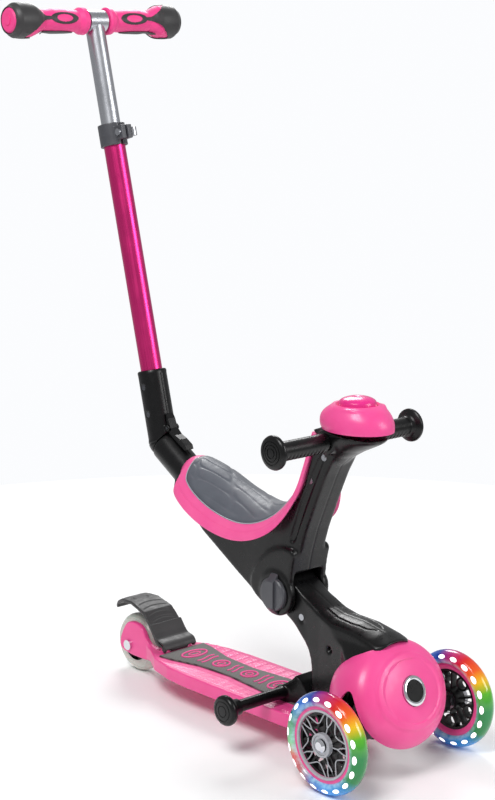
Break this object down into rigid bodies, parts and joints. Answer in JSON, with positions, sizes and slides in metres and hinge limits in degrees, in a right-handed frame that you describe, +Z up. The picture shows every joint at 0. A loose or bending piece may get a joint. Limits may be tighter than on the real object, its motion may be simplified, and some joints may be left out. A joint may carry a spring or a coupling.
{
  "type": "kick scooter",
  "caption": "Three-wheel child's kick scooter with lean-to-steer front, ride-on saddle with small handles and horn, foot rests, rear foot brake and adjustable parent push bar.",
  "frame": {"origin": "on the floor, on the centre plane, under the middle of the scooter's overall length", "axes": "+Z up; the scooter rolls forwards along -Y, so the two front wheels are at -Y and the rear wheel and the push bar are at +Y; X across, +X on the rider's left"},
  "size_m": [0.276, 0.6378, 0.8959],
  "materials": {
    "pink_plastic": "satin moulded polypropylene, pink",
    "trim_plastic": "glossy moulded ABS, light pink",
    "button_plastic": "glossy moulded ABS, deep pink",
    "grip_rubber": "soft-touch moulded rubber, pink",
    "pink_metal": "pink anodised aluminium tube",
    "dark_rubber": "dark grey moulded rubber",
    "mat_rubber": "grey ribbed rubber mat",
    "pad_rubber": "blue-grey moulded soft pad",
    "black_plastic": "black glass-filled nylon",
    "knob_plastic": "dark grey moulded plastic",
    "bare_aluminium": "brushed aluminium",
    "zinc_steel": "zinc-plated steel",
    "chrome": "chromed plastic",
    "tyre_clear": "clear cast polyurethane that glows with the lamps in it",
    "tyre_ivory": "clear cast polyurethane",
    "spoke_plastic": "grey and black moulded nylon",
    "spring_steel": "spring steel"
  },
  "bodies": {
    "chassis": {"deck": "pink_plastic", "deck_mat": "mat_rubber", "nose_cover": "pink_plastic", "nose_ring": "chrome", "head_bracket": "black_plastic", "kingpin": "zinc_steel", "kingpin_nut": "zinc_steel", "stem_shell_right": "black_plastic", "stem_shell_left": "black_plastic", "stem_screws": "zinc_steel", "footrest_bar": "black_plastic", "footrest_end_right": "black_plastic", "footrest_end_left": "black_plastic", "rear_axle": "zinc_steel", "brake_pin": "zinc_steel", "brake_spring": "spring_steel", "seat_pivot_bolt": "zinc_steel", "truck_bush": "dark_rubber", "lock_spring": "spring_steel"},
    "truck": {"truck": "black_plastic", "front_axle_right": "zinc_steel", "front_axle_left": "zinc_steel"},
    "wheel_front_right": {"front_tyre_right": "tyre_clear", "front_rim_right": "pink_plastic", "front_spokes_right": "spoke_plastic", "front_bearings_right": "zinc_steel"},
    "wheel_front_left": {"front_tyre_left": "tyre_clear", "front_rim_left": "pink_plastic", "front_spokes_left": "spoke_plastic", "front_bearings_left": "zinc_steel"},
    "wheel_rear": {"rear_tyre": "tyre_ivory", "rear_hub": "black_plastic", "rear_bearings": "zinc_steel"},
    "brake": {"brake_fender": "dark_rubber"},
    "lock_button": {"lock_button": "black_plastic"},
    "seat_unit": {"seat_frame_right": "black_plastic", "seat_frame_left": "black_plastic", "seat_trim": "trim_plastic", "seat_pad": "pad_rubber", "seat_frame_screws": "zinc_steel", "pivot_cap_left": "knob_plastic", "handle_tube": "bare_aluminium", "handle_grip_right": "black_plastic", "handle_grip_left": "black_plastic", "horn_cover": "trim_plastic"},
    "seat_knob": {"seat_knob_right": "knob_plastic"},
    "horn_button": {"horn_button": "button_plastic"},
    "push_bar": {"elbow": "black_plastic", "elbow_pins": "zinc_steel", "outer_tube": "pink_metal", "clamp_collar": "knob_plastic", "clamp_bolt": "zinc_steel"},
    "latch": {"elbow_latch": "black_plastic"},
    "clamp_lever": {"clamp_lever": "bare_aluminium"},
    "upper_bar": {"inner_tube": "bare_aluminium", "handlebar_tube": "bare_aluminium", "grip_right": "grip_rubber", "grip_left": "grip_rubber", "grip_overlays": "dark_rubber", "grip_plugs": "grip_rubber"}
  },
  "joints": [
    {"name": "truck_steer", "type": "hinge", "parent": "chassis", "child": "truck", "pos_m": [0, -0.2405, 0.0615], "axis": [0, -0.6428, 0.766], "range_deg": [-12, 12], "stiffness_Nm_per_rad": 6},
    {"name": "front_right_spin", "type": "hinge", "parent": "truck", "child": "wheel_front_right", "pos_m": [-0.1085, -0.2605, 0.0605], "axis": [1, 0, 0], "continuous": true},
    {"name": "front_left_spin", "type": "hinge", "parent": "truck", "child": "wheel_front_left", "pos_m": [0.1085, -0.2605, 0.0605], "axis": [1, 0, 0], "continuous": true},
    {"name": "rear_spin", "type": "hinge", "parent": "chassis", "child": "wheel_rear", "pos_m": [0, 0.2095, 0.04], "axis": [1, 0, 0], "continuous": true},
    {"name": "brake_press", "type": "hinge", "parent": "chassis", "child": "brake", "pos_m": [0, 0.1365, 0.053], "axis": [-1, 0, 0], "range_deg": [0, 6], "stiffness_Nm_per_rad": 2, "springref_deg": -6.88},
    {"name": "lock_press", "type": "slide", "parent": "chassis", "child": "lock_button", "axis": [0, 0.9304, -0.3665], "range_m": [0, 0.004], "stiffness_N_per_m": 600, "springref_m": -0.001, "deforming": ["lock_spring"]},
    {"name": "seat_tilt", "type": "hinge", "parent": "chassis", "child": "seat_unit", "pos_m": [0, -0.0925, 0.184], "axis": [1, 0, 0], "range_deg": [-8, 8]},
    {"name": "knob_turn", "type": "hinge", "parent": "seat_unit", "child": "seat_knob", "pos_m": [-0.04, -0.0925, 0.184], "axis": [-1, 0, 0], "range_deg": [0, 90]},
    {"name": "horn_press", "type": "slide", "parent": "seat_unit", "child": "horn_button", "axis": [0, 0, -1], "range_m": [0, 0.003], "stiffness_N_per_m": 800, "springref_m": -0.001},
    {"name": "bar_unplug", "type": "slide", "parent": "seat_unit", "child": "push_bar", "axis": [0, 0.8485, 0.5292], "range_m": [0, 0.04]},
    {"name": "latch_lift", "type": "hinge", "parent": "push_bar", "child": "latch", "pos_m": [0, 0.14097, 0.35048], "axis": [-1, 0, 0], "range_deg": [0, 8], "stiffness_Nm_per_rad": 0.6, "springref_deg": -8.59},
    {"name": "bar_height", "type": "slide", "parent": "push_bar", "child": "upper_bar", "axis": [0, -0.2419, -0.9703], "range_m": [0, 0.09]},
    {"name": "clamp_open", "type": "hinge", "parent": "push_bar", "child": "clamp_lever", "pos_m": [0.0142, 0.23307, 0.73141], "axis": [0, -0.2419, -0.9703], "range_deg": [0, 100]}
  ]
}
